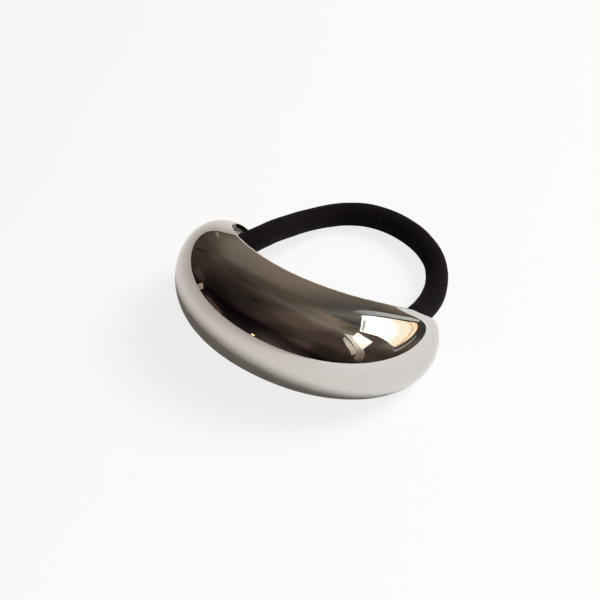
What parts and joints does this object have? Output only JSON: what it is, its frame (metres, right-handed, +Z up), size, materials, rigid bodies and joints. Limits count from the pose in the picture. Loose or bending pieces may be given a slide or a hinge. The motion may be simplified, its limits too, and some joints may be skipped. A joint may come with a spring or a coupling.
{
  "type": "ponytail cuff",
  "caption": "Polished hollow half-moon ponytail cuff with an open back, on a round black elastic whose ends sit in sockets inside it.",
  "frame": {"origin": "centre of the cuff's box, on the surface it rests on", "axes": "+X along the cuff from end to end, its dome towards -Y, +Z up as it rests, with the dome turned up by 16.4 degrees"},
  "size_m": [0.0654, 0.0654, 0.0253],
  "materials": {
    "polished_metal": "mirror polished",
    "knitted_elastic": "matte knitted cover over rubber strands"
  },
  "bodies": {
    "root": {"cuff_shell": "polished_metal", "elastic_band": "knitted_elastic"}
  },
  "joints": []
}
